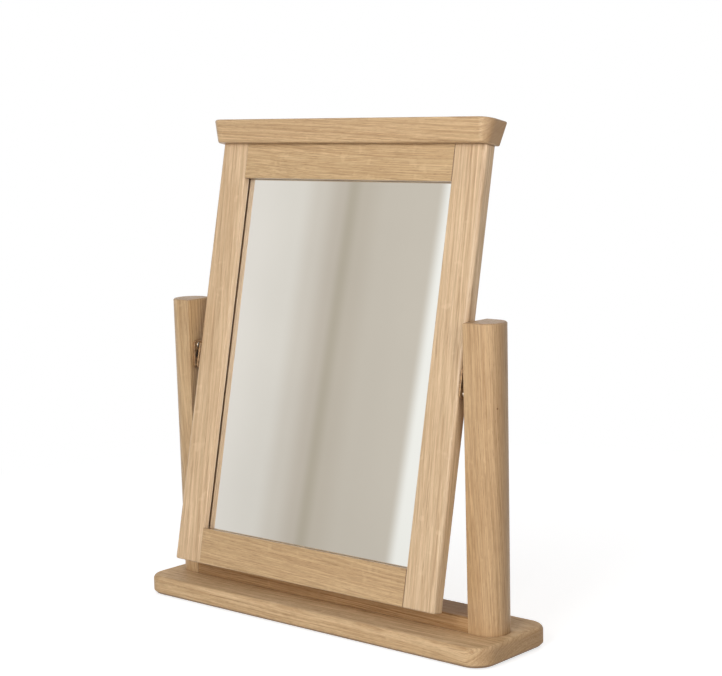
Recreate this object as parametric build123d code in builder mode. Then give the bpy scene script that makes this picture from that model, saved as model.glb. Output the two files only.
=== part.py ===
from build123d import *
from math import cos, radians, sin
import os

# Dressing-table swing mirror in oak.
# A framed mirror with a flared cornice hangs between two posts on friction pivots.
# The posts stand on a rounded base board and a low stretcher ties them together.
# Millimetres, +Z up, +X to the sitter's right, -Y towards the sitter.
# The origin is on the table top, under the middle of the base board.

# Base board
BASE_LENGTH = 500.0
BASE_DEPTH = 123.0
BASE_THICKNESS = 21.0
BASE_CORNER_RADIUS = 24.0
BASE_EDGE_RADIUS = 5.0
BASE_LOWER_CHAMFER = 3.0
PAD_SIZE = 22.0
PAD_THICKNESS = 2.0
PAD_SPACING_X = 430.0
PAD_SPACING_Y = 76.0

# Posts: flat towards the mirror, rounded on the outside, a little wider at the top
POST_INNER_X = 202.0
POST_FOOT_WIDTH = 34.2
POST_TOP_WIDTH = 36.4
POST_DEPTH = 41.0
POST_ROUNDING = 20.0
POST_HEIGHT = 324.5
POST_TOP_EASING = 1.2
POST_INNER_EASING = 1.2

# Stretcher on the base board, between the posts
STRETCHER_DEPTH = 40.0
STRETCHER_HEIGHT = 17.0
STRETCHER_EASING = 1.5

# Swing frame, measured up (+) and down (-) from the pivot line
TILT = 12.3
PIVOT_Y = -7.0
PIVOT_ABOVE_TABLE = 283.0
FRAME_WIDTH = 385.0
FRAME_THICKNESS = 16.0
FRAME_BOTTOM = -237.5
FRAME_TOP = 246.3
OPENING_BOTTOM = -197.4
OPENING_TOP = 207.0
STILE_WIDTH = 40.8
STILE_FRONT_RADIUS = 4.0
STILE_BACK_RADIUS = 3.0
FRAME_FOOT_RADIUS = 1.8
JOINT_ARRIS = 0.5
TENON_LENGTH = 25.0
TENON_WIDTH = 18.0
TENON_THICKNESS = 6.0

# Cornice over the frame: plan at its lower and its upper face
CORNICE_HEIGHT = 26.0
CORNICE_LOWER_LENGTH = 393.6
CORNICE_UPPER_LENGTH = 407.6
CORNICE_LOWER_FRONT = 17.4
CORNICE_UPPER_FRONT = 24.4
CORNICE_LOWER_CORNER = 8.5
CORNICE_UPPER_CORNER = 15.5
CORNICE_EASING = 2.0
CORNICE_LOWER_ARRIS = 1.0
DOWEL_DIAMETER = 8.0
DOWEL_LENGTH = 30.0
DOWEL_SPACING = 220.0

# Mirror glass and back panel in stepped rebates behind the frame
SIGHT_LIP = 7.6
GLASS_THICKNESS = 4.0
GLASS_REBATE = 8.0
GLASS_OVERLAP = 7.0
PANEL_THICKNESS = 3.0
PANEL_REBATE = 16.0
PANEL_OVERLAP = 15.0
PANEL_SCREW_INSET = 11.5

# Pivot hardware
PLATE_LENGTH = 32.0
PLATE_WIDTH = 15.0
PLATE_THICKNESS = 2.0
PLATE_CORNER = 3.0
PLATE_SCREW_OFFSET = 11.0
PIN_DIAMETER = 5.0
PIN_HOLE_CLEARANCE = 0.05
COLLAR_DIAMETER = 9.0
COLLAR_LENGTH = 3.5
WASHER_DIAMETER = 12.0
NUT_ACROSS_FLATS = 8.0
NUT_THICKNESS = 4.5
RECESS_DIAMETER = 12.0
RECESS_DEPTH = 10.0
END_PLAY = 0.05

# Screws: their heads have twelve sides, and their shanks and pilot holes six
HEAD_SIDES = 12
SHANK_SIDES = 6
SCREW_FIT = 0.05
PLATE_SCREW_HEAD = 6.8
PLATE_SCREW_SHANK = 3.5
PLATE_SCREW_LENGTH = 16.0
PLATE_SCREW_HEAD_HEIGHT = 1.6
PANEL_SCREW_HEAD = 6.0
PANEL_SCREW_SHANK = 3.0
PANEL_SCREW_LENGTH = 11.0
PANEL_SCREW_HEAD_HEIGHT = 1.3
POST_SCREW_HEAD = 11.5
POST_SCREW_SHANK = 6.0
POST_SCREW_LENGTH = 54.0
POST_SCREW_HEAD_HEIGHT = 4.0
POST_SCREW_SPACING = 18.0
POST_SCREW_COUNTERBORE = 7.0
STRETCHER_SCREW_HEAD = 8.0
STRETCHER_SCREW_SHANK = 4.0
STRETCHER_SCREW_LENGTH = 26.0
STRETCHER_SCREW_HEAD_HEIGHT = 2.5
STRETCHER_SCREW_SPACING = 240.0
STRETCHER_SCREW_COUNTERBORE = 6.0

# Derived places
BASE_UNDERSIDE = PAD_THICKNESS
BASE_TOP = BASE_UNDERSIDE + BASE_THICKNESS
POST_TOP = BASE_TOP + POST_HEIGHT
FRAME_BACK = -FRAME_THICKNESS / 2
FRAME_FRONT = FRAME_THICKNESS / 2
GLASS_FRONT = FRAME_FRONT - SIGHT_LIP
GLASS_BACK = GLASS_FRONT - GLASS_THICKNESS
PANEL_BACK = GLASS_BACK - PANEL_THICKNESS
OPENING_WIDTH = FRAME_WIDTH - 2 * STILE_WIDTH
OPENING_HEIGHT = OPENING_TOP - OPENING_BOTTOM
OPENING_MIDDLE = (OPENING_TOP + OPENING_BOTTOM) / 2
POST_SCREW_X = POST_INNER_X + POST_FOOT_WIDTH / 2

PIVOT = Vector(0, PIVOT_Y, PIVOT_ABOVE_TABLE)
UP = Vector(0, sin(radians(TILT)), cos(radians(TILT)))
FORWARD = Vector(0, -cos(radians(TILT)), sin(radians(TILT)))
PIVOT_AXIS = Axis(PIVOT, (1, 0, 0))
FRAME_UP = Axis(PIVOT, UP)
FRAME_FORWARD = Axis(PIVOT, FORWARD)

# Plane of the frame's mid-thickness: x to the right, y up the frame, z forward
FRAME_PLANE = Plane(origin=PIVOT, x_dir=(1, 0, 0), z_dir=FORWARD)


def across_frame(height):
    """Plane square to the stiles at a height above the pivot: x right, y backward."""
    return Plane(origin=PIVOT + UP * height, x_dir=(1, 0, 0), z_dir=UP)


def plate_plane(side, x, lengthwise):
    """Upright plane facing outward at x, with its x along a hinge plate's length."""
    return Plane(origin=(side * x, PIVOT_Y, PIVOT_ABOVE_TABLE), x_dir=lengthwise, z_dir=(side, 0, 0))


def plate_screw_planes(side, x, lengthwise, driven):
    """Planes at a plate's two screw heads, facing the way the screws are driven."""
    along = Vector(*lengthwise)
    middle = Vector(side * x, PIVOT_Y, PIVOT_ABOVE_TABLE)
    places = []
    for offset in (-PLATE_SCREW_OFFSET, PLATE_SCREW_OFFSET):
        places.append(Plane(origin=middle + along * offset, x_dir=along, z_dir=(driven, 0, 0)))
    return places


POST_PLATE_PLACES = {}
FRAME_PLATE_PLACES = {}
for side in (-1, 1):
    POST_PLATE_PLACES[side] = plate_screw_planes(side, POST_INNER_X - PLATE_THICKNESS, (0, 0, 1), side)
    FRAME_PLATE_PLACES[side] = plate_screw_planes(
        side, FRAME_WIDTH / 2 + PLATE_THICKNESS, tuple(UP), -side
    )

# Places of the screws that come up from under the base board
POST_SCREW_PLACES = {}
for side in (-1, 1):
    POST_SCREW_PLACES[side] = []
    for y in (-POST_SCREW_SPACING / 2, POST_SCREW_SPACING / 2):
        height = BASE_UNDERSIDE + POST_SCREW_COUNTERBORE
        POST_SCREW_PLACES[side].append(Plane(origin=(side * POST_SCREW_X, y, height)))
STRETCHER_SCREW_PLACES = []
for x in (-STRETCHER_SCREW_SPACING / 2, STRETCHER_SCREW_SPACING / 2):
    height = BASE_UNDERSIDE + STRETCHER_SCREW_COUNTERBORE
    STRETCHER_SCREW_PLACES.append(Plane(origin=(x, 0, height)))


def bore(places, radius, sides, start, end):
    """Sided hole between two distances from the screw heads' planes."""
    with BuildSketch(*[place.offset(start) for place in places]) as outline:
        RegularPolygon(radius + SCREW_FIT, sides)
    extrude(outline.sketch, amount=end - start, mode=Mode.SUBTRACT)


def build_post(side):
    """Post with a flat inner face, a rounded outer face and a slight taper."""
    with BuildPart() as post:
        for height, width in ((BASE_TOP, POST_FOOT_WIDTH), (POST_TOP, POST_TOP_WIDTH)):
            with BuildSketch(Plane.XY.offset(height)) as section:
                with Locations((side * (POST_INNER_X + width / 2), 0)):
                    Rectangle(width, POST_DEPTH)
                corners = section.vertices().sort_by(Axis.X, reverse=side < 0)
                fillet(corners[-2:], POST_ROUNDING)
                fillet(corners[:2], POST_INNER_EASING)
        loft(ruled=True)
        chamfer(post.faces().sort_by(Axis.Z)[-1].edges(), POST_TOP_EASING)
        # recess for the pivot's lock nut, behind the hinge plate
        with BuildSketch(plate_plane(side, POST_INNER_X, (0, 0, 1))):
            Circle(RECESS_DIAMETER / 2)
        extrude(amount=RECESS_DEPTH, mode=Mode.SUBTRACT)
        bore(POST_PLATE_PLACES[side], PLATE_SCREW_SHANK / 2, SHANK_SIDES, 0, PLATE_SCREW_LENGTH + 0.5)
        bore(POST_SCREW_PLACES[side], POST_SCREW_SHANK / 2, SHANK_SIDES, 0, POST_SCREW_LENGTH + 1)
    return post.part


def cut_rebates():
    """Stepped pocket in the back of the frame: back panel first, glass in front of it."""
    steps = ((FRAME_BACK, GLASS_BACK, PANEL_REBATE), (GLASS_BACK, GLASS_FRONT, GLASS_REBATE))
    for back, front, margin in steps:
        with BuildSketch(FRAME_PLANE.offset(back)) as pocket:
            with Locations((0, OPENING_MIDDLE)):
                Rectangle(OPENING_WIDTH + 2 * margin, OPENING_HEIGHT + 2 * margin)
        extrude(pocket.sketch, amount=front - back, mode=Mode.SUBTRACT)
    bore(PANEL_SCREW_PLACES, PANEL_SCREW_SHANK / 2, SHANK_SIDES, 0, PANEL_SCREW_LENGTH + 0.5)


def panel_screw_places():
    """Planes on the back panel's face, facing forward, one for each screw."""
    sides_x = OPENING_WIDTH / 2 + PANEL_SCREW_INSET
    ends_y = OPENING_HEIGHT / 2 + PANEL_SCREW_INSET
    spots = [(x, y) for x in (-sides_x, sides_x) for y in (-180, -60, 60, 180)]
    spots += [(x, y) for x in (-75, 75) for y in (-ends_y, ends_y)]
    places = []
    for x, y in spots:
        spot = PIVOT + Vector(x, 0, 0) + UP * (OPENING_MIDDLE + y) + FORWARD * PANEL_BACK
        places.append(Plane(origin=spot, x_dir=(1, 0, 0), z_dir=FORWARD))
    return places


PANEL_SCREW_PLACES = panel_screw_places()
RAILS = {"top": (OPENING_TOP, FRAME_TOP), "bottom": (FRAME_BOTTOM, OPENING_BOTTOM)}


def tenon_middle(rail):
    """Height of a rail's tenon, in the part of the rail outside the rebates."""
    low, high = RAILS[rail]
    if rail == "top":
        return (low + PANEL_REBATE + high) / 2
    return (low + high - PANEL_REBATE) / 2


def build_stile(side):
    """Upright frame member with rounded outer edges, mortises and rebates."""
    middle_x = side * (FRAME_WIDTH - STILE_WIDTH) / 2
    with BuildPart() as stile:
        with BuildSketch(FRAME_PLANE.offset(FRAME_BACK)):
            with Locations((middle_x, (FRAME_TOP + FRAME_BOTTOM) / 2)):
                Rectangle(STILE_WIDTH, FRAME_TOP - FRAME_BOTTOM)
        extrude(amount=FRAME_THICKNESS)
        outer = stile.edges().filter_by(FRAME_UP).sort_by(Axis.X, reverse=side < 0)[-2:]
        fillet(outer.sort_by(FRAME_FORWARD)[-1], STILE_FRONT_RADIUS)
        outer = stile.edges().filter_by(FRAME_UP).sort_by(Axis.X, reverse=side < 0)
        back_edges = outer.group_by(FRAME_FORWARD)[0]
        fillet(back_edges.sort_by(Axis.X, reverse=side < 0)[-1], STILE_BACK_RADIUS)
        foot = stile.faces().sort_by(FRAME_UP)[0]
        foot_edges = foot.edges().sort_by(Axis.X, reverse=side < 0)[1:]
        fillet(foot_edges, FRAME_FOOT_RADIUS)
        inner = stile.edges().filter_by(FRAME_UP).sort_by(Axis.X, reverse=side < 0)[:2]
        chamfer(inner.sort_by(FRAME_FORWARD)[-1], JOINT_ARRIS)
        # mortises from the inner edge
        inner_edge = PIVOT + Vector(side * OPENING_WIDTH / 2, 0, 0)
        with BuildSketch(Plane(origin=inner_edge, x_dir=UP, z_dir=(side, 0, 0))):
            with Locations(*[(tenon_middle(rail), 0) for rail in RAILS]):
                Rectangle(TENON_WIDTH, TENON_THICKNESS)
        extrude(amount=TENON_LENGTH, mode=Mode.SUBTRACT)
        cut_rebates()
        bore(FRAME_PLATE_PLACES[side], PLATE_SCREW_SHANK / 2, SHANK_SIDES, 0, PLATE_SCREW_LENGTH + 0.5)
    return stile.part


def build_rail(rail):
    """Level frame member between the stiles, with a tenon at each end."""
    low, high = RAILS[rail]
    with BuildPart() as member:
        with BuildSketch(FRAME_PLANE.offset(FRAME_BACK)):
            with Locations((0, (low + high) / 2)):
                Rectangle(OPENING_WIDTH, high - low)
        extrude(amount=FRAME_THICKNESS)
        if rail == "bottom":
            fillet(member.faces().sort_by(FRAME_UP)[0].edges().filter_by(Axis.X), FRAME_FOOT_RADIUS)
        with BuildSketch(FRAME_PLANE.offset(-TENON_THICKNESS / 2)):
            with Locations((0, tenon_middle(rail))):
                Rectangle(OPENING_WIDTH + 2 * TENON_LENGTH - 1, TENON_WIDTH)
        extrude(amount=TENON_THICKNESS)
        cut_rebates()
        if rail == "top":
            with Locations(across_frame(FRAME_TOP)):
                with GridLocations(DOWEL_SPACING, 1, 2, 1):
                    Hole(DOWEL_DIAMETER / 2 + SCREW_FIT, DOWEL_LENGTH / 2)
    return member.part


def build_plate(side, x, lengthwise, facing, places):
    """Hinge plate with clipped corners, two screw holes and the pin's hole."""
    base = Plane(origin=(side * x, PIVOT_Y, PIVOT_ABOVE_TABLE), x_dir=lengthwise, z_dir=(facing, 0, 0))
    with BuildPart() as plate:
        with BuildSketch(base):
            outline = Rectangle(PLATE_LENGTH, PLATE_WIDTH)
            chamfer(outline.vertices(), PLATE_CORNER)
            hole = PIN_DIAMETER / 2 + (PIN_HOLE_CLEARANCE if facing == -side else 0)
            Circle(hole, mode=Mode.SUBTRACT)
        extrude(amount=PLATE_THICKNESS)
        bore(places, PLATE_SCREW_SHANK / 2, SHANK_SIDES, 0, PLATE_THICKNESS)
    return plate.part


def build_pin(side):
    """Pivot pin: shank pressed into the plate, collar, and a tail that carries the lock nut."""
    r = PIN_DIAMETER / 2
    start = FRAME_WIDTH / 2
    collar = start + PLATE_THICKNESS
    collar_end = collar + COLLAR_LENGTH
    tail_end = POST_INNER_X + END_PLAY + NUT_THICKNESS + 1.5
    profile_plane = Plane(origin=PIVOT, x_dir=(side, 0, 0), z_dir=(0, -1, 0))
    with BuildPart() as pin:
        with BuildSketch(profile_plane):
            with BuildLine():
                Polyline(
                    (start, 0), (start, r), (collar, r), (collar, COLLAR_DIAMETER / 2),
                    (collar_end, COLLAR_DIAMETER / 2), (collar_end, r), (tail_end, r), (tail_end, 0),
                    close=True,
                )
            make_face()
        revolve(axis=PIVOT_AXIS)
    return pin.part


def build_washer(side):
    """Fibre friction washer between the pin's collar and the post's plate."""
    start = FRAME_WIDTH / 2 + PLATE_THICKNESS + COLLAR_LENGTH
    end = POST_INNER_X - PLATE_THICKNESS - END_PLAY
    with BuildPart() as washer:
        with BuildSketch(plate_plane(side, start, (0, 0, 1))):
            Circle(WASHER_DIAMETER / 2)
            Circle(PIN_DIAMETER / 2, mode=Mode.SUBTRACT)
        extrude(amount=end - start)
    return washer.part


def build_nut(side):
    """Hexagon lock nut on the pin's tail, inside the post's recess."""
    with BuildPart() as nut:
        with BuildSketch(plate_plane(side, POST_INNER_X + END_PLAY, (0, 0, 1))):
            RegularPolygon(NUT_ACROSS_FLATS / 2, 6, major_radius=False)
            Circle(PIN_DIAMETER / 2, mode=Mode.SUBTRACT)
        extrude(amount=NUT_THICKNESS)
    return nut.part


def headed_screws(places, head, head_height, shank, length):
    """Flat-headed screws whose heads bear on their planes."""
    with BuildPart() as screws:
        with BuildSketch(*places):
            RegularPolygon(head / 2, HEAD_SIDES)
        extrude(amount=-head_height)
        with BuildSketch(*places):
            RegularPolygon(shank / 2, SHANK_SIDES)
        extrude(amount=length)
    return screws.part


def save(part, label):
    part.label = label
    export_step(part, f"parts/{label}.step")


os.makedirs("parts", exist_ok=True)

# Base board: rounded corners in plan, softened edges all round, screws from below
with BuildPart() as base_board:
    with BuildSketch(Plane.XY.offset(BASE_UNDERSIDE)):
        RectangleRounded(BASE_LENGTH, BASE_DEPTH, BASE_CORNER_RADIUS)
    extrude(amount=BASE_THICKNESS)
    fillet(base_board.faces().sort_by(Axis.Z)[-1].edges(), BASE_EDGE_RADIUS)
    chamfer(base_board.faces().sort_by(Axis.Z)[0].edges(), BASE_LOWER_CHAMFER)
    post_screw_places = POST_SCREW_PLACES[-1] + POST_SCREW_PLACES[1]
    bore(post_screw_places, POST_SCREW_SHANK / 2, SHANK_SIDES, 0, BASE_THICKNESS)
    bore(post_screw_places, POST_SCREW_HEAD / 2 + 0.7, HEAD_SIDES, -POST_SCREW_COUNTERBORE, 0)
    bore(STRETCHER_SCREW_PLACES, STRETCHER_SCREW_SHANK / 2, SHANK_SIDES, 0, BASE_THICKNESS)
    bore(
        STRETCHER_SCREW_PLACES, STRETCHER_SCREW_HEAD / 2 + 0.5, HEAD_SIDES,
        -STRETCHER_SCREW_COUNTERBORE, 0
    )
save(base_board.part, "base_board")

# Felt pads under the corners
with BuildPart() as base_pads:
    with BuildSketch(Plane.XY):
        with GridLocations(PAD_SPACING_X, PAD_SPACING_Y, 2, 2):
            Rectangle(PAD_SIZE, PAD_SIZE)
    extrude(amount=PAD_THICKNESS)
save(base_pads.part, "base_pads")

# Stretcher: a low bar that butts against both posts
with BuildPart() as stretcher:
    with BuildSketch(Plane.XY.offset(BASE_TOP)):
        Rectangle(2 * POST_INNER_X, STRETCHER_DEPTH)
    extrude(amount=STRETCHER_HEIGHT)
    fillet(stretcher.faces().sort_by(Axis.Z)[-1].edges().filter_by(Axis.X), STRETCHER_EASING)
    bore(STRETCHER_SCREW_PLACES, STRETCHER_SCREW_SHANK / 2, SHANK_SIDES, 0, STRETCHER_SCREW_LENGTH + 0.5)
save(stretcher.part, "stretcher")

# Cornice: straight flare on the front and both ends, flush with the frame's back
with BuildPart() as cornice:
    outlines = (
        (FRAME_TOP, CORNICE_LOWER_LENGTH, CORNICE_LOWER_FRONT, CORNICE_LOWER_CORNER),
        (FRAME_TOP + CORNICE_HEIGHT, CORNICE_UPPER_LENGTH, CORNICE_UPPER_FRONT, CORNICE_UPPER_CORNER),
    )
    for height, length, front, corner in outlines:
        with BuildSketch(across_frame(height)) as outline:
            with Locations((0, (-FRAME_BACK - front) / 2)):
                Rectangle(length, front - FRAME_BACK)
            front_corners = outline.vertices().sort_by(FRAME_FORWARD)[-2:]
            fillet(front_corners, corner)
    loft(ruled=True)
    fillet(cornice.faces().sort_by(FRAME_UP)[-1].edges(), CORNICE_EASING)
    lower_edges = cornice.faces().sort_by(FRAME_UP)[0].edges()
    chamfer(lower_edges.sort_by(FRAME_FORWARD)[1:], CORNICE_LOWER_ARRIS)
    with Locations(Plane(origin=PIVOT + UP * FRAME_TOP, x_dir=(1, 0, 0), z_dir=-UP)):
        with GridLocations(DOWEL_SPACING, 1, 2, 1):
            Hole(DOWEL_DIAMETER / 2 + SCREW_FIT, DOWEL_LENGTH / 2 + 0.5)
save(cornice.part, "cornice")

# Dowels between the top rail and the cornice
with BuildPart() as cornice_dowels:
    with BuildSketch(across_frame(FRAME_TOP - DOWEL_LENGTH / 2)):
        with GridLocations(DOWEL_SPACING, 1, 2, 1):
            Circle(DOWEL_DIAMETER / 2)
    extrude(amount=DOWEL_LENGTH)
save(cornice_dowels.part, "cornice_dowels")

# Mirror glass, held against the frame's sight lip by the back panel
with BuildPart() as mirror_glass:
    with BuildSketch(FRAME_PLANE.offset(GLASS_BACK)):
        with Locations((0, OPENING_MIDDLE)):
            Rectangle(OPENING_WIDTH + 2 * GLASS_OVERLAP, OPENING_HEIGHT + 2 * GLASS_OVERLAP)
    extrude(amount=GLASS_THICKNESS)
save(mirror_glass.part, "mirror_glass")

with BuildPart() as back_panel:
    with BuildSketch(FRAME_PLANE.offset(PANEL_BACK)):
        with Locations((0, OPENING_MIDDLE)):
            Rectangle(OPENING_WIDTH + 2 * PANEL_OVERLAP, OPENING_HEIGHT + 2 * PANEL_OVERLAP)
    extrude(amount=PANEL_THICKNESS)
    bore(PANEL_SCREW_PLACES, PANEL_SCREW_SHANK / 2, SHANK_SIDES, 0, PANEL_THICKNESS)
save(back_panel.part, "back_panel")

# Frame members, posts and pivot hardware, left and right
for rail in RAILS:
    save(build_rail(rail), f"{rail}_rail")

for side, hand in ((-1, "left"), (1, "right")):
    save(build_post(side), f"{hand}_post")
    save(build_stile(side), f"{hand}_stile")
    post_plate = build_plate(side, POST_INNER_X, (0, 0, 1), -side, POST_PLATE_PLACES[side])
    save(post_plate, f"{hand}_post_plate")
    frame_plate = build_plate(side, FRAME_WIDTH / 2, tuple(UP), side, FRAME_PLATE_PLACES[side])
    save(frame_plate, f"{hand}_frame_plate")
    save(build_pin(side), f"{hand}_pivot_pin")
    save(build_washer(side), f"{hand}_friction_washer")
    save(build_nut(side), f"{hand}_lock_nut")

# Screws, identical ones together
for name, places in (("post", POST_PLATE_PLACES), ("frame", FRAME_PLATE_PLACES)):
    plate_screws = headed_screws(
        places[-1] + places[1], PLATE_SCREW_HEAD, PLATE_SCREW_HEAD_HEIGHT,
        PLATE_SCREW_SHANK, PLATE_SCREW_LENGTH
    )
    save(plate_screws, f"{name}_plate_screws")
panel_screws = headed_screws(
    PANEL_SCREW_PLACES, PANEL_SCREW_HEAD, PANEL_SCREW_HEAD_HEIGHT, PANEL_SCREW_SHANK, PANEL_SCREW_LENGTH
)
save(panel_screws, "back_panel_screws")
post_screws = headed_screws(
    POST_SCREW_PLACES[-1] + POST_SCREW_PLACES[1], POST_SCREW_HEAD, POST_SCREW_HEAD_HEIGHT,
    POST_SCREW_SHANK, POST_SCREW_LENGTH
)
save(post_screws, "post_screws")
stretcher_screws = headed_screws(
    STRETCHER_SCREW_PLACES, STRETCHER_SCREW_HEAD, STRETCHER_SCREW_HEAD_HEIGHT,
    STRETCHER_SCREW_SHANK, STRETCHER_SCREW_LENGTH
)
save(stretcher_screws, "stretcher_screws")
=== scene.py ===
from math import cos, radians, sin

import bmesh
import bpy
from mathutils import Matrix, Vector


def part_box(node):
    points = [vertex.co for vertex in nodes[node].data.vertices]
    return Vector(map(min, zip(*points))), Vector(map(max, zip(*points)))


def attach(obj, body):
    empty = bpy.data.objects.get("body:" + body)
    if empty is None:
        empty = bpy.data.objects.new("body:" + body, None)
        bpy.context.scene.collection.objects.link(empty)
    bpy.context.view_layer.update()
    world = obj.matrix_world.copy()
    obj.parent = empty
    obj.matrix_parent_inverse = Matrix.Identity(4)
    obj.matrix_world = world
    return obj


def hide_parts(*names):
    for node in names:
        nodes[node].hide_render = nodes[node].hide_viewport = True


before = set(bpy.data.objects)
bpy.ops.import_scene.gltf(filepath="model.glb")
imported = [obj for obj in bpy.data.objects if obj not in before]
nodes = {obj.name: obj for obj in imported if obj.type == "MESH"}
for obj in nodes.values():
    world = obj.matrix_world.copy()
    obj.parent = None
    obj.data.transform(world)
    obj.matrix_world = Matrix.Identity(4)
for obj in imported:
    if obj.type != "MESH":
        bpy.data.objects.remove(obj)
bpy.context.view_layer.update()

# ---------------------------------------------------------------- directions
# At rest the mirror leans back, and UP and FORWARD are its own directions
TILT = radians(12.3)
PIVOT = Vector((0.0, -0.007, 0.283))
ACROSS = Vector((1.0, 0.0, 0.0))
UP = Vector((0.0, sin(TILT), cos(TILT)))
FORWARD = Vector((0.0, -cos(TILT), sin(TILT)))
LEVEL_Y = Vector((0.0, 1.0, 0.0))
VERTICAL = Vector((0.0, 0.0, 1.0))


# ---------------------------------------------------------------- colours
def srgb(red, green, blue):
    """Linear colour from 0-255 screen values."""
    values = []
    for value in (red, green, blue):
        v = value / 255
        values.append(v / 12.92 if v <= 0.04045 else ((v + 0.055) / 1.055) ** 2.4)
    return (*values, 1.0)


def shade(colour, tone):
    """Colour with its red, green and blue scaled by a tone's."""
    return (*(value * share for value, share in zip(colour, tone)), 1.0)


# ---------------------------------------------------------------- node helpers
class Tree:
    """Short-hand for building the node tree of a material or of the world."""

    def __init__(self, owner):
        self.owner = owner
        owner.use_nodes = True
        self.tree = owner.node_tree
        self.tree.nodes.clear()

    def node(self, kind, inputs=None, **settings):
        made = self.tree.nodes.new(kind)
        for key, value in settings.items():
            setattr(made, key, value)
        for key, value in (inputs or {}).items():
            self.feed(made.inputs[key], value)
        return made

    def feed(self, socket, value):
        if isinstance(value, bpy.types.NodeSocket):
            self.tree.links.new(value, socket)
        else:
            socket.default_value = value

    def math(self, operation, *values):
        made = self.node("ShaderNodeMath", operation=operation)
        for index, value in enumerate(values):
            self.feed(made.inputs[index], value)
        return made.outputs[0]

    def plus(self, total, *values):
        for value in values:
            total = self.math("ADD", total, value)
        return total

    def minus(self, first, second):
        return self.math("SUBTRACT", first, second)

    def times(self, first, second):
        return self.math("MULTIPLY", first, second)

    def vector(self, operation, *values):
        made = self.node("ShaderNodeVectorMath", operation=operation)
        for index, value in enumerate(values):
            self.feed(made.inputs[index], value)
        return made.outputs["Value" if operation in ("DOT_PRODUCT", "LENGTH", "DISTANCE") else "Vector"]

    def join(self, x, y, z=0.0):
        return self.node("ShaderNodeCombineXYZ", {"X": x, "Y": y, "Z": z}).outputs[0]

    def object_place(self):
        return self.node("ShaderNodeTexCoord").outputs["Object"]

    def noise(self, vector, detail=2.0, roughness=0.5):
        made = self.node("ShaderNodeTexNoise", {
            "Vector": vector, "Scale": 1.0, "Detail": detail, "Roughness": roughness,
        })
        return made.outputs["Fac"]

    def map(self, vector, scale=(1, 1, 1), location=(0, 0, 0), rotation=(0, 0, 0)):
        made = self.node("ShaderNodeMapping", {
            "Vector": vector, "Scale": scale, "Location": location, "Rotation": rotation,
        })
        return made.outputs[0]

    def ramp(self, value, stops):
        """Smooth ramp; a stop is (place, grey) or (place, colour)."""
        made = self.node("ShaderNodeValToRGB", {"Fac": value})
        ramp = made.color_ramp
        ramp.interpolation = "EASE"
        while len(ramp.elements) < len(stops):
            ramp.elements.new(0.5)
        for element, (place, colour) in zip(ramp.elements, stops):
            element.position = place
            element.color = colour if isinstance(colour, tuple) else (colour, colour, colour, 1)
        return made.outputs[0]

    def range(self, value, low, high, to_low=0.0, to_high=1.0):
        """The value, carried from one range to another and held at its ends."""
        made = self.node("ShaderNodeMapRange", {
            "Value": value, "From Min": low, "From Max": high, "To Min": to_low, "To Max": to_high,
        })
        made.clamp = True
        return made.outputs[0]

    def mix(self, share, first, second):
        """First colour with a share of the second."""
        made = self.node("ShaderNodeMix", data_type="RGBA", blend_type="MIX", clamp_factor=True)
        self.feed(made.inputs["Factor"], share)
        self.feed(made.inputs[6], first)
        self.feed(made.inputs[7], second)
        return made.outputs[2]

    def relief(self, strength, depth, height, normal=None):
        """Normal bent by a height of a depth in metres."""
        inputs = {"Strength": strength, "Distance": depth, "Height": height}
        if normal:
            inputs["Normal"] = normal
        return self.node("ShaderNodeBump", inputs).outputs[0]

    def soft_arris(self, radius):
        """Normal softened at arrises, and how close it is to the face's own."""
        soft = self.node("ShaderNodeBevel", {"Radius": radius}, samples=4).outputs[0]
        own = self.node("ShaderNodeNewGeometry").outputs["Normal"]
        return soft, self.vector("DOT_PRODUCT", soft, own)

    def openness(self, reach):
        """1 on open faces, falling towards 0 in corners and gaps within the reach."""
        return self.node("ShaderNodeAmbientOcclusion", {"Distance": reach}, samples=8).outputs["AO"]

    def surface(self, inputs):
        """Material with a Principled shader of these inputs."""
        return self.finish(self.node("ShaderNodeBsdfPrincipled", inputs).outputs[0])

    def finish(self, shader):
        self.node("ShaderNodeOutputMaterial", {"Surface": shader})
        return self.owner


def new_tree(name):
    return Tree(bpy.data.materials.new(name))


# ---------------------------------------------------------------- oak
# Tones of the parts of the wood, and of painted shade and highlight, as shares of the board's own red,
# green and blue
PALE_WOOD = (1.26, 1.27, 1.30)
CLOUDED_WOOD = (1.10, 1.10, 1.09)
MIDDLE_WOOD = (0.96, 0.95, 0.92)
DARK_WOOD = (0.68, 0.56, 0.44)
PORE = (0.42, 0.33, 0.24)
END_GRAIN = (0.58, 0.47, 0.39)
GLUE_LINE = (0.27, 0.16, 0.08)
# painted shade on the darker side or end of a board
SHADED_FLANK = (0.30, 0.22, 0.15)
PIN_KNOT = (0.28, 0.15, 0.08)
# paler arrises: partly wear, partly painted highlight
RUBBED_AND_HIGHLIT_ARRIS = (1.35, 1.4, 1.5)
# painted shade in tight corners and in narrow gaps
CORNER_SHADE = (0.22, 0.14, 0.08)
GAP_SHADE = (0.24, 0.15, 0.09)

# How much of each tone the colour takes
BROAD_SHARE = 0.8
THIN_SHARE = 0.50
RING_SHARE = 0.68
END_RING_SHARE = 0.45
PORE_SHARE = 0.72
FIBRE_SHARE = 0.22
RAY_SHARE = 0.25
END_GRAIN_SHARE = 0.45
RUBBED_AND_HIGHLIT_SHARE = 0.45

# Frequencies in 1/m: along the grain, then the two ways across it
SIDE_DRIFT = (2.2, 9, 9)
BACK_DRIFT = (3.1, 12, 12)
RAGGED_RINGS = (16, 260, 260)
RING_PATCHES = (6, 40, 40)
CLOUDS = (4, 22, 22)
RAYS = (90, 60, 500)
FIBRES = (150, 1500, 1500)
LONG_PORES_ACROSS = 700
SHORT_PORES_ACROSS = 1100
SHORT_PORE_RATE = 3.2  # short pores to one long pore along the grain
# The same for lines on the rings: along the grain, from ring to ring and around the pith
BROAD_LINES = (3, 450, 95)
THIN_LINES = (8, 900, 200)
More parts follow.
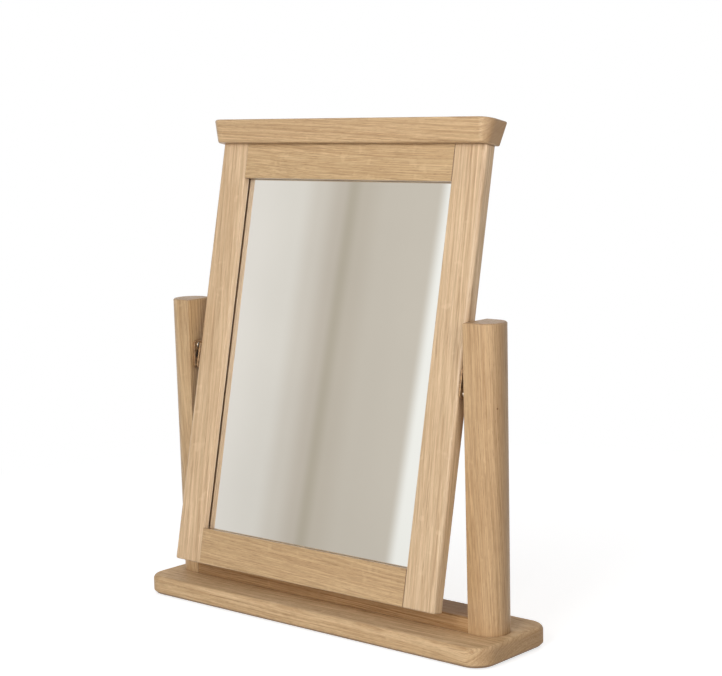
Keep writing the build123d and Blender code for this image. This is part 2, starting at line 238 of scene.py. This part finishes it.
# The same for the years: from ring to ring
SLOW_YEARS = (38, 1, 1)
QUICK_YEARS = (170, 1, 1)
GOOD_YEARS = (210, 1, 1)

# Share of early wood over one ring
EARLY_WOOD = ((0.0, 0.2), (0.12, 1.0), (0.45, 0.35), (0.8, 0.0), (1.0, 0.2))
BEARING_SCALE = 0.1

# Lengths in metres
RAIL_END = 0.1517  # half of a rail's length between the stiles
GLUE_LINE_EDGE, GLUE_LINE_CORE = 0.0009, 0.0003  # before the rail's end
KNOT_CORE, KNOT_EDGE = 0.0004, 0.0013
ARRIS = 0.0012
# reaches of the painted shade in corners and in gaps
CORNER_REACH = 0.0025
CLEFT_REACH = 0.014
PORE_DEPTH = 0.00025


def growth_rings(t, board, seed, pith, ring, sway, lean):
    """Share of early wood, the run along the board, and the place on the rings.

    Rings lie `ring` apart about a pith line that leans through the log and sways.
    """
    run, side, back = t.node("ShaderNodeSeparateXYZ", {"Vector": board}).outputs
    drifts = (
        t.noise(t.map(board, SIDE_DRIFT, (seed, 0, 0)), 1.5),
        t.noise(t.map(board, BACK_DRIFT, (0, seed, 5)), 1.5),
    )
    away = []
    for distance, centre, slope, drift in zip((side, back), pith, lean, drifts):
        leaning = t.plus(t.minus(distance, centre), t.times(run, slope))
        away.append(t.plus(leaning, t.times(t.minus(drift, 0.5), sway)))
    radius = t.vector("LENGTH", t.join(*away))
    bearing = t.times(t.math("ARCTAN2", away[1], away[0]), BEARING_SCALE)
    year = t.join(radius, seed)
    rings = t.plus(
        t.math("DIVIDE", radius, ring),
        t.times(t.noise(t.map(year, SLOW_YEARS), 1.5), 7.0),
        t.times(t.noise(t.map(year, QUICK_YEARS), 1.0), 1.6),
        t.times(t.noise(t.map(board, RAGGED_RINGS, (0, 0, seed)), 2.5), 0.8),
    )
    early = t.ramp(t.math("FRACT", rings), EARLY_WOOD)
    good_year = t.range(t.noise(t.map(year, GOOD_YEARS, (3, 7, 0)), 1.5), 0.36, 0.64, 0.3, 1.0)
    patch = t.range(t.noise(t.map(board, RING_PATCHES, (4, seed, 1)), 1.5), 0.35, 0.65, 0.7, 1.0)
    return t.times(early, t.times(good_year, patch)), run, t.join(run, radius, bearing)


def pore_streaks(t, board, seed, streak, early):
    """Pores along the grain, crowded in the early wood, and the noise of the long ones."""
    long_scale = (1 / streak, LONG_PORES_ACROSS, LONG_PORES_ACROSS)
    short_scale = (SHORT_PORE_RATE / streak, SHORT_PORES_ACROSS, SHORT_PORES_ACROSS)
    long_pores = t.noise(t.map(board, long_scale, (seed, 3, 1)), 2.0, 0.6)
    short_pores = t.noise(t.map(board, short_scale, (5, seed, 2)), 2.0, 0.6)
    pores = t.math("MAXIMUM", t.range(long_pores, 0.51, 0.66), t.range(short_pores, 0.54, 0.68))
    return t.times(pores, t.plus(t.times(early, 0.6), 0.4)), long_pores


def oak(name, along, across, seed, colour, pith, ring=0.0030, sway=0.010, lean=(0.02, 0.03),
        streak=0.030, contrast=1.0, joints=(), knot=None, shaded_flank=None, corner_shade=0.75, gap_shade=0.65,
        roughness=0.27, gloss=0.45):
    """Oak as a solid of growth rings about a pith line, with pores along the grain and end grain.

    `colour` is the board's mean colour and `streak` the length of its pores. `joints` gives
    the rail's glue lines as (end, darkness), and `knot` the place of a pin knot.
    The flank is (direction, start, end, share): painted shade, darkening the board by that share from start
    to end.
    The corner and gap shares are painted shade, darkening tight corners and narrow gaps where shade falls.
    """
    t = new_tree(name)
    place = t.node("ShaderNodeTexCoord")
    here = place.outputs["Object"]
    turn = Matrix((along, across, along.cross(across))).to_euler()
    board = t.map(here, rotation=tuple(turn))
    early, run, shell = growth_rings(t, board, seed, pith, ring, sway, lean)
    pores, long_pores = pore_streaks(t, board, seed, streak, early)
    broad = t.noise(t.map(shell, BROAD_LINES, (seed, 2, 2)), 3.0, 0.6)
    thin = t.noise(t.map(shell, THIN_LINES, (4, seed, 3)), 2.0, 0.7)
    fibre = t.range(t.noise(t.map(board, FIBRES, (2, seed, 4))), 0.3, 0.7)
    cloud = t.noise(t.map(board, CLOUDS, (seed, 8, 2)))
    rays = t.range(t.noise(t.map(board, RAYS, (6, seed, 7)), 1.0), 0.66, 0.76)
    # end grain takes up more finish, so it is darker and shows its rings more
    facing = t.math("ABSOLUTE", t.vector("DOT_PRODUCT", place.outputs["Normal"], tuple(along)))
    end = t.range(facing, 0.30, 0.95)

    def toned(share, tone):
        return t.mix(share, body, shade(colour, tone))

    body = shade(colour, PALE_WOOD)
    body = toned(t.range(cloud, 0.3, 0.7), CLOUDED_WOOD)
    body = toned(t.times(t.range(broad, 0.38, 0.62), BROAD_SHARE), MIDDLE_WOOD)
    body = toned(t.times(t.range(thin, 0.44, 0.62), THIN_SHARE * contrast), DARK_WOOD)
    ring_share = t.plus(t.times(end, END_RING_SHARE), RING_SHARE * contrast)
    body = toned(t.times(early, ring_share), DARK_WOOD)
    body = toned(t.times(pores, PORE_SHARE * contrast), PORE)
    body = toned(t.times(fibre, FIBRE_SHARE), DARK_WOOD)
    body = toned(t.times(rays, RAY_SHARE), PALE_WOOD)
    body = toned(t.times(end, END_GRAIN_SHARE), END_GRAIN)
    for side, darkness in joints:
        near_end = t.times(run, side)
        line = t.range(near_end, RAIL_END - GLUE_LINE_EDGE, RAIL_END - GLUE_LINE_CORE)
        body = toned(t.times(line, darkness), GLUE_LINE)
    # painted shade: the board darker towards one side, where less light falls
    if shaded_flank:
        direction, start, stop, share = shaded_flank
        distance = t.vector("DOT_PRODUCT", here, tuple(direction))
        body = toned(t.range(distance, start, stop, 0.0, share), SHADED_FLANK)
    if knot:
        from_knot = t.vector("DISTANCE", here, knot)
        body = toned(t.range(from_knot, KNOT_CORE, KNOT_EDGE, 1.0, 0.0), PIN_KNOT)

    # arrises are painted a little paler, partly as wear and partly as painted highlight, and painted shade
    # darkens corners and gaps
    soft, likeness = t.soft_arris(ARRIS)
    rubbed_and_highlit = t.times(t.range(likeness, 0.82, 0.99, 1.0, 0.0), t.range(long_pores, 0.35, 0.65, 0.5, 1.0))
    body = toned(t.times(rubbed_and_highlit, RUBBED_AND_HIGHLIT_SHARE), RUBBED_AND_HIGHLIT_ARRIS)
    body = toned(t.range(t.openness(CORNER_REACH), 0.15, 0.75, corner_shade, 0.0), CORNER_SHADE)
    body = toned(t.range(t.openness(CLEFT_REACH), 0.10, 0.66, gap_shade, 0.0), GAP_SHADE)

    rough = t.plus(t.times(early, 0.10), t.times(pores, 0.16), t.times(cloud, 0.08), roughness)
    height = t.plus(t.times(early, -0.35), t.times(pores, -1.0), t.times(fibre, -0.15))
    return t.surface({
        "Base Color": body, "Roughness": rough, "Normal": t.relief(0.35, PORE_DEPTH, height, soft),
        "Specular IOR Level": gloss,
    })


# ---------------------------------------------------------------- other materials
METAL_ARRIS = 0.0004
WORN_PLATING = srgb(235, 222, 196)


def metal(name, colour, tarnish, roughness, seed, brushed=(1, 1, 1), metallic=1.0):
    """Plated steel: fine brushing, patches of tarnish and paler worn edges."""
    t = new_tree(name)
    place = t.object_place()
    patch = t.noise(t.map(place, (260, 260, 260), (seed, 0, 0)), 3.0, 0.6)
    brush = t.noise(t.map(place, tuple(2400 * s for s in brushed), (0, seed, 0)))
    body = t.mix(t.range(patch, 0.42, 0.68), colour, tarnish)
    body = t.mix(t.times(t.range(brush, 0.4, 0.7), 0.25), body, tarnish)
    soft, likeness = t.soft_arris(METAL_ARRIS)
    body = t.mix(t.range(likeness, 0.8, 0.98, 0.6, 0.0), body, WORN_PLATING)
    rough = t.plus(t.times(brush, 0.18), roughness - 0.09)
    return t.surface({
        "Base Color": body, "Metallic": metallic, "Roughness": rough,
        "Normal": t.relief(0.25, 0.00005, brush, soft),
    })


def matt(name, first, second, seed, grain, fuzz=0.0, roughness=0.8):
    """Felt, fibre and hardboard: mottled, matt, with a fine tooth."""
    t = new_tree(name)
    place = t.object_place()
    patch = t.noise(t.map(place, (24, 24, 24), (seed, 0, 0)), 3.0)
    tooth = t.noise(t.map(place, (grain, grain, grain), (0, seed, 0)), 3.0, 0.65)
    body = t.mix(t.range(patch, 0.3, 0.7), first, second)
    body = t.mix(t.times(t.range(tooth, 0.45, 0.75), 0.4), body, second)
    rough = t.plus(t.times(tooth, 0.15), roughness - 0.08)
    return t.surface({
        "Base Color": body, "Roughness": rough, "Normal": t.relief(0.6, 0.0002, tooth),
        "Specular IOR Level": 0.25, "Sheen Weight": fuzz, "Sheen Roughness": 0.5,
    })


def silvering():
    """Mirror glass: a clean reflection with a trace of haze."""
    t = new_tree("silvered_glass")
    haze = t.noise(t.map(t.object_place(), (9, 9, 9)), 3.0)
    body = t.mix(t.range(haze, 0.35, 0.7), srgb(238, 238, 237), srgb(235, 235, 234))
    rough = t.range(haze, 0.4, 0.75, 0.004, 0.012)
    return t.surface({"Base Color": body, "Metallic": 1.0, "Roughness": rough})


# ---------------------------------------------------------------- materials on the CAD nodes
def dress(node, material):
    """Gives a CAD node's slots one material."""
    slots = nodes[node].data.materials
    if not len(slots):
        slots.append(material)
    for index in range(len(slots)):
        slots[index] = material


STRETCHER_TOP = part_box("stretcher")[1][2]
RIGHT_JOINT, LEFT_JOINT = (1, 0.8), (-1, 0.12)
RAIL_JOINTS = (RIGHT_JOINT, LEFT_JOINT)

# the base top is painted darker towards its back: painted shade
dress("base_board", oak(
    "oak_base", ACROSS, LEVEL_Y, 3.1, srgb(203, 174, 136), pith=(0.045, -0.075), ring=0.0032,
    sway=0.022, lean=(0.03, 0.05), streak=0.026, shaded_flank=(LEVEL_Y, -0.010, 0.030, 0.12),
    corner_shade=0.35, roughness=0.48, gloss=0.22))
# the stretcher's top is painted darker: painted shadow of the mirror frame above it
dress("stretcher", oak(
    "oak_stretcher", ACROSS, VERTICAL, 7.7, srgb(182, 148, 107), pith=(-0.05, 0.04), sway=0.014,
    streak=0.05, contrast=1.3, shaded_flank=(VERTICAL, STRETCHER_TOP - 0.0020, STRETCHER_TOP - 0.0005, 0.45),
    roughness=0.48, gloss=0.22))
dress("left_post", oak(
    "oak_left_post", VERTICAL, ACROSS, 11.3, srgb(197, 167, 127), pith=(-0.16, 0.09), ring=0.0036,
    sway=0.012, streak=0.035, gap_shade=0.9, roughness=0.34))
# the right post's outer side is painted darker: partly painted shade, partly the wood's own darker tone
dress("right_post", oak(
    "oak_right_post", VERTICAL, ACROSS, 15.9, srgb(194, 162, 122), pith=(0.29, 0.10), ring=0.0036,
    sway=0.012, streak=0.030, knot=(0.2360, -0.0088, 0.2608), shaded_flank=(ACROSS, 0.2325, 0.2390, 0.34),
    corner_shade=0.35, roughness=0.34))
dress("left_stile", oak(
    "oak_left_stile", UP, ACROSS, 21.2, srgb(209, 181, 146), pith=(-0.10, 0.03), ring=0.0036,
    sway=0.008, streak=0.06, contrast=0.85, gap_shade=0.45))
dress("right_stile", oak(
    "oak_right_stile", UP, ACROSS, 26.4, srgb(209, 182, 148), pith=(0.26, 0.05), ring=0.0038,
    sway=0.010, streak=0.06, gap_shade=0.95))
dress("top_rail", oak(
    "oak_top_rail", ACROSS, UP, 31.8, srgb(197, 168, 128), pith=(0.47, 0.05), sway=0.026,
    lean=(0.035, 0.04), streak=0.030, joints=RAIL_JOINTS))
dress("bottom_rail", oak(
    "oak_bottom_rail", ACROSS, UP, 36.5, srgb(193, 163, 123), pith=(-0.30, 0.06), ring=0.0031,
    sway=0.020, lean=(0.03, 0.03), streak=0.024, joints=RAIL_JOINTS))
# the cornice's right end is painted darker: painted shade
dress("cornice", oak(
    "oak_cornice", ACROSS, UP, 41.7, srgb(199, 169, 130), pith=(0.474, 0.012), sway=0.008,
    streak=0.028, shaded_flank=(ACROSS, 0.192, 0.210, 0.36)))
dress("cornice_dowels", oak(
    "beech_dowel", UP, ACROSS, 45.0, srgb(214, 178, 136), pith=(0.06, 0.05), ring=0.004, contrast=0.5))

BRUSHED_UPRIGHT = (1, 1, 0.15)
brass = metal("plated_steel", srgb(192, 154, 112), srgb(132, 98, 68), 0.45, 2.0, BRUSHED_UPRIGHT, 0.6)
zinc = metal("screw_steel", srgb(196, 190, 176), srgb(120, 112, 100), 0.34, 4.0)
dark_steel = metal("pivot_steel", srgb(120, 112, 102), srgb(52, 46, 40), 0.36, 6.0)
fibre_washer = matt("fibre_washer", srgb(58, 40, 28), srgb(36, 25, 18), 3.0, 900)
for hand in ("left", "right"):
    dress(f"{hand}_post_plate", brass)
    dress(f"{hand}_frame_plate", brass)
    dress(f"{hand}_pivot_pin", dark_steel)
    dress(f"{hand}_lock_nut", dark_steel)
    dress(f"{hand}_friction_washer", fibre_washer)
for place in ("post_plate", "frame_plate", "back_panel", "post", "stretcher"):
    dress(f"{place}_screws", zinc)
dress("back_panel", matt("backing_board", srgb(146, 110, 74), srgb(132, 98, 64), 5.0, 1100, roughness=0.62))
dress("base_pads", matt("felt", srgb(98, 74, 52), srgb(70, 52, 36), 7.0, 2600, fuzz=0.5, roughness=0.95))


# ---------------------------------------------------------------- mirror glass
def mesh_object(name, mesh):
    """Object of a finished bmesh."""
    data = bpy.data.meshes.new(name)
    mesh.to_mesh(data)
    mesh.free()
    made = bpy.data.objects.new(name, data)
    bpy.context.scene.collection.objects.link(made)
    return made


def in_mirror(x, up, out):
    """Point by its distances across, up and out of the mirror frame's mid-plane."""
    return PIVOT + ACROSS * x + UP * up + FORWARD * out


def slab(name, low, high, bevel, place):
    """Slab between two corners given in `place` coordinates, with softened edges."""
    mesh = bmesh.new()
    verts = {}
    for i in (0, 1):
        for j in (0, 1):
            for k in (0, 1):
                corner = ((low[0], high[0])[i], (low[1], high[1])[j], (low[2], high[2])[k])
                verts[i, j, k] = mesh.verts.new(place(*corner))
    for axis in range(3):
        for end in (0, 1):
            ring = []
            for a, b in ((0, 0), (1, 0), (1, 1), (0, 1)):
                key = [a, b]
                key.insert(axis, end)
                ring.append(verts[tuple(key)])
            mesh.faces.new(ring)
    bmesh.ops.recalc_face_normals(mesh, faces=mesh.faces)
    bmesh.ops.bevel(mesh, geom=list(mesh.edges), offset=bevel, segments=2, profile=0.5, affect="EDGES")
    return mesh_object(name, mesh)


# The silvering is on the back of the glass, and seen through the glass it looks 1.5 mm deep
GLASS_LOW = (-0.1587, -0.2044, -0.0036)
GLASS_HIGH = (0.1587, 0.2140, -0.0011)
GLASS_BEVEL = 0.0004
glass = slab("silvered_glass", GLASS_LOW, GLASS_HIGH, GLASS_BEVEL, in_mirror)
glass.data.materials.append(silvering())
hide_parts("mirror_glass")
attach(glass, "mirror_frame")

# ---------------------------------------------------------------- screws with crossed drives
HEAD_SEGMENTS = 24
# Distance from the axis and height of a pan head's outline, as shares of its radius and height
PAN_HEAD = ((0.0, 1.0), (0.30, 0.985), (0.55, 0.92), (0.76, 0.80), (0.91, 0.60), (0.985, 0.32), (1.0, 0.0))
SHANK_SHARE = 0.5
# Length and width of the drive's arms as shares of the head's radius, height and lift of its height
DRIVE_LENGTH, DRIVE_WIDTH, DRIVE_HEIGHT, DRIVE_LIFT = 0.82, 0.20, 1.1, 0.80
SCREW_TURN = 37  # degrees from one screw's drive to the next
SAME_HEIGHT = 2e-5
WELD = 1e-6


def turned(outline):
    """Solid turned about Z from a list of (radius, height)."""
    mesh = bmesh.new()
    verts = [mesh.verts.new((radius, 0, height)) for radius, height in outline]
    edges = [mesh.edges.new(pair) for pair in zip(verts, verts[1:])]
    bmesh.ops.spin(mesh, geom=verts + edges, cent=(0, 0, 0), axis=(0, 0, 1), angle=radians(360),
                   steps=HEAD_SEGMENTS, use_merge=True)
    bmesh.ops.remove_doubles(mesh, verts=mesh.verts, dist=WELD)
    bmesh.ops.recalc_face_normals(mesh, faces=mesh.faces)
    return mesh


def drive_bar(turn, radius, height):
    """Tapered bar that cuts one arm of the crossed drive."""
    mesh = bmesh.new()
    size = (radius * DRIVE_LENGTH, radius * DRIVE_WIDTH, height * DRIVE_HEIGHT)
    bmesh.ops.create_cone(mesh, cap_ends=True, segments=4, radius1=0.5, radius2=1.0, depth=1.0)
    bmesh.ops.rotate(mesh, verts=mesh.verts, cent=(0, 0, 0), matrix=Matrix.Rotation(radians(45), 3, "Z"))
    bmesh.ops.scale(mesh, verts=mesh.verts, vec=size)
    bmesh.ops.translate(mesh, verts=mesh.verts, vec=(0, 0, height * DRIVE_LIFT))
    bmesh.ops.rotate(mesh, verts=mesh.verts, cent=(0, 0, 0), matrix=Matrix.Rotation(turn, 3, "Z"))
    return mesh_object("drive_bar", mesh)


def cross_head_screw(radius, height, length):
    """Mesh of one screw on the Z axis, with its seat at the origin and its head above."""
    outline = [(radius * r, height * h) for r, h in PAN_HEAD]
    shank = radius * SHANK_SHARE
    outline += [(shank, 0.0), (shank, height - length + shank), (0.0, height - length)]
    screw = mesh_object("screw", turned(outline))
    bars = [drive_bar(radians(turn), radius, height) for turn in (0, 90)]
    for bar in bars:
        cut = screw.modifiers.new("drive", "BOOLEAN")
        cut.operation = "DIFFERENCE"
        cut.solver = "EXACT"
        cut.object = bar
    bpy.context.view_layer.update()
    shaped = bpy.data.meshes.new_from_object(screw.evaluated_get(bpy.context.evaluated_depsgraph_get()))
    for made in bars + [screw]:
        bpy.data.objects.remove(made)
    return shaped


def solids_of(node):
    """Points of each separate solid of a CAD node."""
    mesh = bmesh.new()
    mesh.from_mesh(nodes[node].data)
    bmesh.ops.remove_doubles(mesh, verts=mesh.verts, dist=WELD)
    left = set(mesh.verts)
    while left:
        reached, fresh = set(), {left.pop()}
        while fresh:
            vert = fresh.pop()
            reached.add(vert)
            near = {edge.other_vert(vert) for edge in vert.link_edges} & left
            left -= near
            fresh |= near
        yield [vert.co.copy() for vert in reached]
    mesh.free()


def nearest_to_origin(points):
    """The point nearest to the origin, and of equals the lowest in x, y and z."""
    return tuple(min(points, key=lambda point: (round(point.length, 6), *point)))


def head_place_and_size(points, way):
    """Middle of a screw's top, and its head's radius, head's height and whole length."""
    heights = sorted({round(way.dot(p), 5) for p in points}, reverse=True)
    top = [p for p in points if way.dot(p) > heights[0] - SAME_HEIGHT]
    middle = sum(top, Vector()) / len(top)
    radius = round(max((p - middle).length for p in top), 5)
    return middle, (radius, round(heights[0] - heights[1], 5), round(heights[0] - heights[-1], 5))


def replace_screws(name, node, body, facing):
    """Turned, cross-headed screws in the places of a node's plain ones.

    `facing` gives the way a screw's head looks from the screw's own middle.
    """
    joined = bmesh.new()
    shaped = {}
    for index, points in enumerate(sorted(solids_of(node), key=nearest_to_origin)):
        low = Vector([min(p[i] for p in points) for i in range(3)])
        high = Vector([max(p[i] for p in points) for i in range(3)])
        way = facing((low + high) / 2)
        middle, size = head_place_and_size(points, way)
        if size not in shaped:
            shaped[size] = cross_head_screw(*size)
        seat = Matrix.Translation(middle - way * size[1])
        turn = Matrix.Rotation(radians(SCREW_TURN * index), 4, "Z")
        copy = shaped[size].copy()
        copy.transform(seat @ way.to_track_quat("Z", "Y").to_matrix().to_4x4() @ turn)
        joined.from_mesh(copy)
        bpy.data.meshes.remove(copy)
    made = mesh_object(name, joined)
    made.data.materials.append(zinc)
    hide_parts(node)
    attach(made, body)


def backward(_middle):
    return -FORWARD


def inward(middle):
    return ACROSS * (-1 if middle.x > 0 else 1)


def outward(middle):
    return -inward(middle)


def downward(_middle):
    return -VERTICAL


replace_screws("back_panel_cross_screws", "back_panel_screws", "mirror_frame", backward)
replace_screws("frame_plate_cross_screws", "frame_plate_screws", "mirror_frame", outward)
replace_screws("post_plate_cross_screws", "post_plate_screws", "stand", inward)
replace_screws("post_cross_screws", "post_screws", "stand", downward)
replace_screws("stretcher_cross_screws", "stretcher_screws", "stand", downward)

# ---------------------------------------------------------------- stage
WHITE = (1, 1, 1, 1)
FLOOR_HALF = 9.0
FLOOR_SHADE = (0.60, 0.60, 0.60, 1)
FLOOR_LIFT = 0.685  # added for rays that see the background, so that the shadow stays faint
FADE_START, FADE_END = 0.30, 1.0  # metres from the object's middle, over which the floor turns white


def stage_plane(name, corners, material):
    data = bpy.data.meshes.new(name)
    data.from_pydata([tuple(c) for c in corners], [], [(0, 1, 2, 3)])
    made = bpy.data.objects.new(name, data)
    bpy.context.scene.collection.objects.link(made)
    made.data.materials.append(material)
    return made


def seen_directly(t):
    """1 for camera, glossy and transmission rays, which see the background, and 0 for light."""
    ray = t.node("ShaderNodeLightPath")
    seen = t.math("MAXIMUM", ray.outputs["Is Camera Ray"], ray.outputs["Is Glossy Ray"])
    return t.math("MAXIMUM", seen, ray.outputs["Is Transmission Ray"])


def floor_material():
    """Pale floor that keeps the shadow near the object and runs into white further out."""
    t = new_tree("pale_floor")
    near = t.range(t.vector("LENGTH", t.object_place()), FADE_START, FADE_END, 1.0, 0.0)
    seen = seen_directly(t)
    diffuse = t.node("ShaderNodeBsdfDiffuse", {"Color": FLOOR_SHADE})
    white = t.node("ShaderNodeEmission", {"Color": WHITE, "Strength": 1.0})
    lift = t.node("ShaderNodeEmission", {"Color": WHITE, "Strength": t.times(seen, FLOOR_LIFT)})
    close = t.node("ShaderNodeAddShader")
    t.feed(close.inputs[0], diffuse.outputs[0])
    t.feed(close.inputs[1], lift.outputs[0])
    far = t.node("ShaderNodeMixShader")
    t.feed(far.inputs[0], t.times(seen, t.minus(1.0, near)))
    t.feed(far.inputs[1], close.outputs[0])
    t.feed(far.inputs[2], white.outputs[0])
    return t.finish(far.outputs[0])


FLOOR_CORNERS = [(FLOOR_HALF * x, FLOOR_HALF * y, 0) for x, y in ((-1, -1), (1, -1), (1, 1), (-1, 1))]
stage_plane("floor", FLOOR_CORNERS, floor_material())

# A glowing card seen only in reflections, painted as the studio wall for the glass to reflect: a pale
# curtain, a fold, a greyer wall and a bright panel
WALL_CENTRE = Vector((-1.6015, -1.745, 0.6727))
WALL_ACROSS = Vector((-0.7348, 0.6783, 0.0))
WALL_UP = Vector((0.1108, 0.1200, 0.9866))
WALL_SLANT = 0.11
WALL_SPAN = (-1.6, 1.6)
WALL_HEIGHTS = (-0.62, 1.5)
WALL_BAND = 0.30  # the bands lie within this distance of the centre, on both sides
WALL_BANDS = (
    (0.115, srgb(238, 238, 233)), (0.170, srgb(197, 190, 178)), (0.360, srgb(194, 187, 175)),
    (0.465, srgb(187, 179, 166)), (0.512, srgb(176, 168, 153)), (0.552, srgb(188, 180, 168)),
    (0.640, srgb(202, 196, 186)), (0.720, srgb(214, 210, 202)), (0.900, srgb(221, 217, 210)),
)
DIM_FROM, DIM_TO, DIM_SHARE = 0.0, -0.45, 0.93  # heights between which the wall dims towards the floor
SILVER_LOSS = 0.83


def wall_material():
    """Glow of the reflected wall: bands by the distance across it, dimmer towards the floor."""
    t = new_tree("glowing_reflection_wall")
    place = t.vector("SUBTRACT", t.object_place(), tuple(WALL_CENTRE))
    across = t.vector("DOT_PRODUCT", place, tuple(WALL_ACROSS))
    height = t.vector("DOT_PRODUCT", place, tuple(WALL_UP))
    band = t.minus(across, t.times(height, WALL_SLANT))
    wall = t.ramp(t.range(band, -WALL_BAND, WALL_BAND), WALL_BANDS)
    dim = t.range(height, DIM_TO, DIM_FROM, DIM_SHARE, 1.0)
    strength = t.math("DIVIDE", dim, SILVER_LOSS)
    return t.finish(t.node("ShaderNodeEmission", {"Color": wall, "Strength": strength}).outputs[0])


WALL_CORNERS = [
    WALL_CENTRE + WALL_ACROSS * WALL_SPAN[i] + WALL_UP * WALL_HEIGHTS[j]
    for i, j in ((0, 0), (1, 0), (1, 1), (0, 1))
]
wall = stage_plane("glowing_reflection_wall", WALL_CORNERS, wall_material())
for rays in ("camera", "diffuse", "transmission", "volume_scatter", "shadow"):
    setattr(wall, f"visible_{rays}", False)

# ---------------------------------------------------------------- light
MIDDLE = Vector((0.0, 0.0, 0.25))
LAMP_DISTANCE = 2.2
LAMP_WIDTH = 1.2


def softbox(name, azimuth, elevation, power):
    """Square area lamp that faces the object from an azimuth (0 in front, 90 right) and a height."""
    lamp = bpy.data.lights.new(name, "AREA")
    lamp.shape = "SQUARE"
    lamp.size = LAMP_WIDTH
    lamp.energy = power
    made = bpy.data.objects.new(name, lamp)
    bpy.context.scene.collection.objects.link(made)
    a, e = radians(azimuth), radians(elevation)
    source = Vector((sin(a) * cos(e), -cos(a) * cos(e), sin(e)))
    made.rotation_euler = source.to_track_quat("Z", "Y").to_euler()
    made.location = MIDDLE + source * LAMP_DISTANCE
    return made


softbox("key", 10, 23, 28.5)
softbox("side", 60, 16, 15)
softbox("back", 205, 10, 26).visible_glossy = False

FRONT_AMBIENT, BACK_AMBIENT = 0.43, 0.08
AMBIENT_TOWARD = (0.12, -0.99, 0.05)


def studio_world():
    """Soft light, stronger from the front than from behind, before a white background."""
    world = bpy.data.worlds.new("studio")
    bpy.context.scene.world = world
    t = Tree(world)
    toward = t.node("ShaderNodeTexCoord").outputs["Generated"]
    frontal = t.vector("DOT_PRODUCT", toward, AMBIENT_TOWARD)
    ambient = t.range(frontal, -0.8, 0.9, BACK_AMBIENT, FRONT_AMBIENT)
    seen = seen_directly(t)
    strength = t.plus(t.times(ambient, t.minus(1.0, seen)), seen)
    sky = t.node("ShaderNodeBackground", {"Color": WHITE, "Strength": strength})
    t.node("ShaderNodeOutputWorld", {"Surface": sky.outputs[0]})


studio_world()

# ---------------------------------------------------------------- camera, as the photograph was taken
FOCAL_PIXELS = 1809.1
IMAGE_WIDTH = 722
SENSOR_WIDTH = 36.0
CLIP_END = 60
YAW, PITCH, ROLL = 0.72619, 0.13672, -0.02695
CAMERA_PLACE = Vector((1.32936, -1.44443, 0.58432))

level = Vector((-sin(YAW), cos(YAW), 0))
ahead = level * cos(PITCH) - VERTICAL * sin(PITCH)
right_flat = Vector((cos(YAW), sin(YAW), 0))
up_flat = VERTICAL * cos(PITCH) + level * sin(PITCH)
right = right_flat * cos(ROLL) + up_flat * sin(ROLL)
up = up_flat * cos(ROLL) - right_flat * sin(ROLL)
camera_data = bpy.data.cameras.new("camera")
camera_data.sensor_fit = "HORIZONTAL"
camera_data.sensor_width = SENSOR_WIDTH
camera_data.lens = FOCAL_PIXELS * SENSOR_WIDTH / IMAGE_WIDTH
camera_data.clip_end = CLIP_END
camera = bpy.data.objects.new("camera", camera_data)
bpy.context.scene.collection.objects.link(camera)
pose = Matrix((right, up, -ahead)).transposed().to_4x4()
pose.translation = CAMERA_PLACE
camera.matrix_world = pose
bpy.context.scene.camera = camera
bpy.context.scene.view_settings.view_transform = "Standard"
